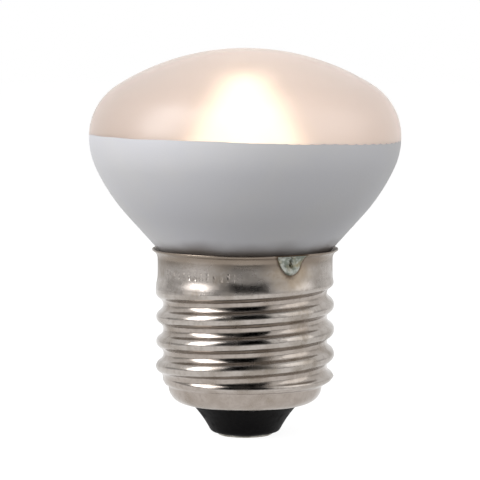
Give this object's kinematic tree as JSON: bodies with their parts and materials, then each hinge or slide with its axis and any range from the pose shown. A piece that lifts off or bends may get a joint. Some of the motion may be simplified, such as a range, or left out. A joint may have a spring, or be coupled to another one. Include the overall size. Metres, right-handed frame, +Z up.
{
  "type": "reptile basking bulb",
  "caption": "Reflector basking lamp: blown glass envelope with frosted face and mirrored bowl, rolled screw cap, black glass insulator and soldered centre contact, lit filament within.",
  "frame": {"origin": "on the axis, in the plane of the centre contact's lowest face", "axes": "+Z up the axis from the cap to the crown of the glass, -Y to the front, +X to the right"},
  "size_m": [0.0456, 0.0456, 0.0569],
  "materials": {
    "envelope_glass": "frosted translucent face, silvered satin bowl",
    "stem_glass": "clear, pressed",
    "lead_wire": "drawn wire",
    "support_wire": "drawn wire",
    "tungsten_coil": "glowing coil",
    "nickelled_shell": "nickel-plated sheet, slightly tarnished",
    "black_glass": "glossy black",
    "contact_metal": "dull, plated",
    "solder": "cast, dull",
    "cement": "baked, matt"
  },
  "bodies": {
    "root": {"glass_envelope": "envelope_glass", "stem_flare": "stem_glass", "exhaust_tube": "stem_glass", "lead_wire_contact": "lead_wire", "lead_wire_rim": "lead_wire", "filament_support_left": "support_wire", "filament_support_right": "support_wire", "filament": "tungsten_coil", "screw_shell": "nickelled_shell", "insulator": "black_glass", "centre_contact": "contact_metal", "contact_solder": "solder", "rim_solder": "solder", "capping_cement": "cement"}
  },
  "joints": []
}
